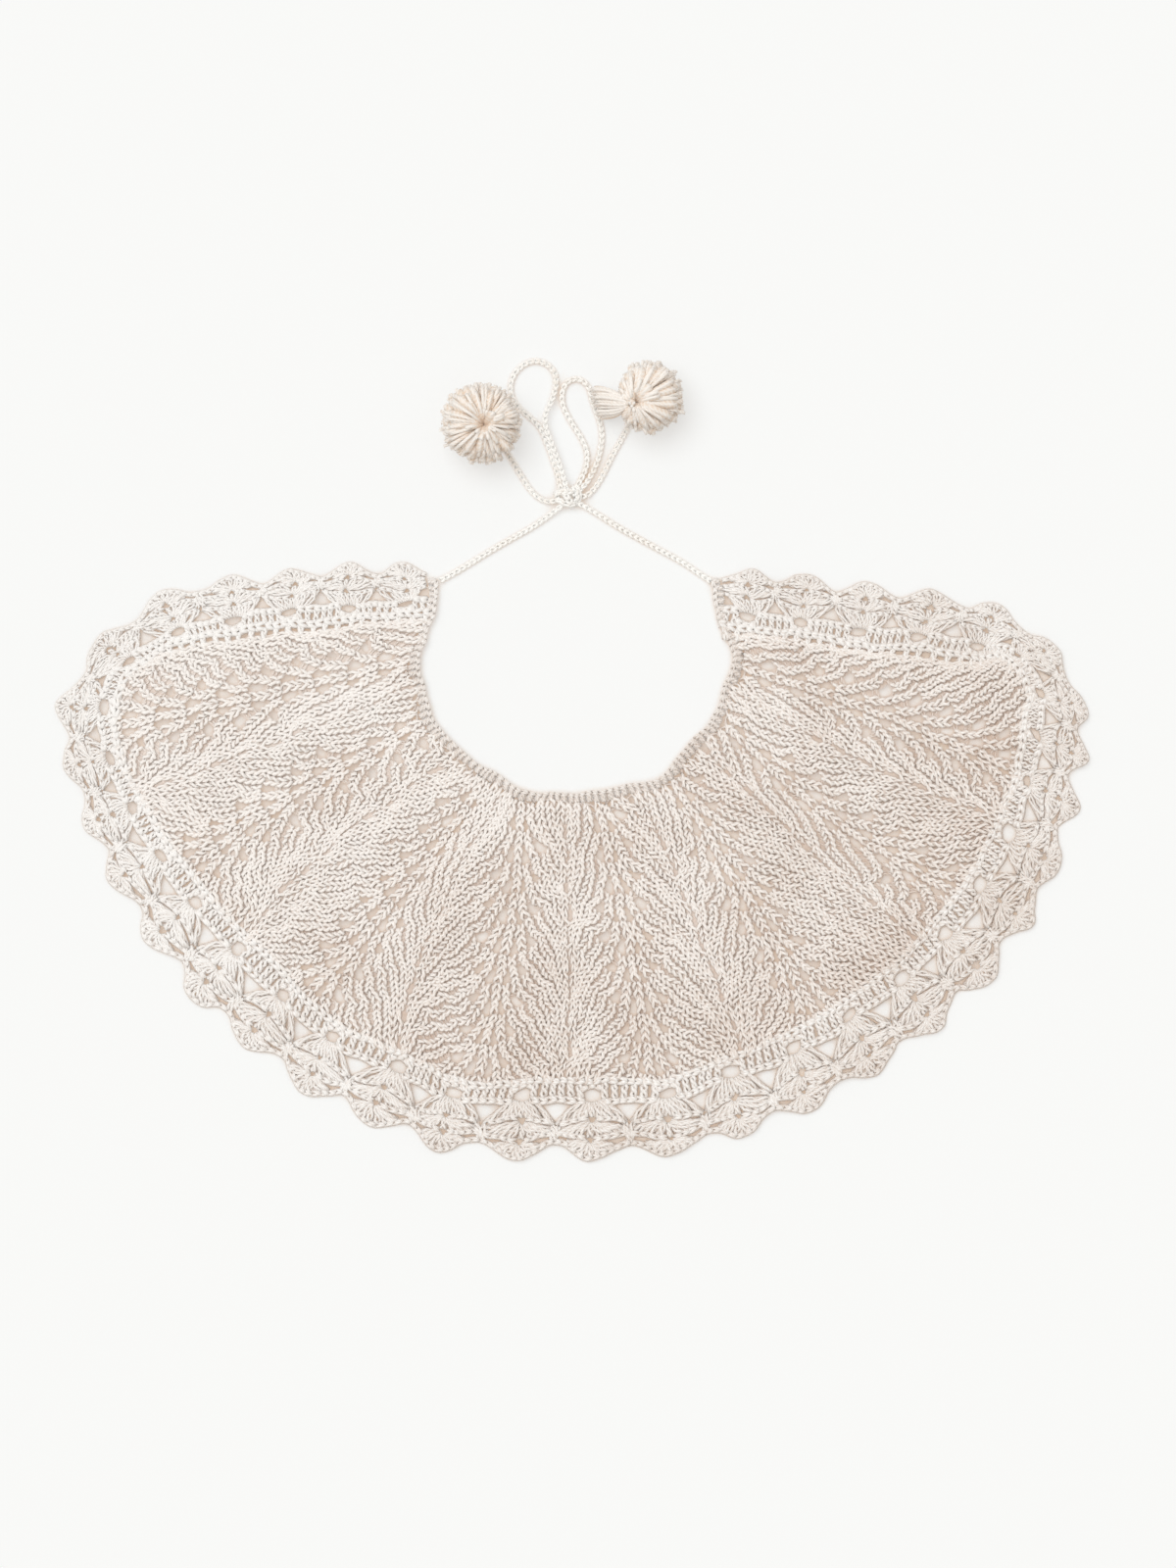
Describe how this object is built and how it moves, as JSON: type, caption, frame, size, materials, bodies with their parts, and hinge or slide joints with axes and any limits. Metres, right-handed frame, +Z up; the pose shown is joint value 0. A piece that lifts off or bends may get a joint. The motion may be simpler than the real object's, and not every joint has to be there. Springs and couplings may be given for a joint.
{
  "type": "crochet collar",
  "caption": "Wide lace collar with a knitted fan yoke, a crocheted shell border and two cord ties ending in pompoms, laid flat with its bow tied.",
  "frame": {"origin": "on the surface that the collar lies on, under the middle of the collar without its ties", "axes": "+X across the collar to the right, +Y from the hem towards the ties, +Z up out of the fabric"},
  "size_m": [0.5243, 0.4075, 0.0373],
  "materials": {
    "knit": "matt cream cotton, knitted feather and fan lace",
    "crochet": "matt cream cotton, crocheted",
    "cord": "matt cream cotton chain cord",
    "pompom": "cut cream cotton yarn"
  },
  "bodies": {
    "root": {"knit_yoke": "knit", "edging_band": "crochet", "shell_lace": "crochet", "neck_edging": "crochet", "bow_knot": "cord", "tie_lead_left": "cord", "tie_lead_right": "cord", "bow_loop_left": "cord", "bow_loop_right": "cord", "tie_tail_left": "cord", "tie_tail_right": "cord", "pompom_left": "pompom", "pompom_right": "pompom"}
  },
  "joints": []
}
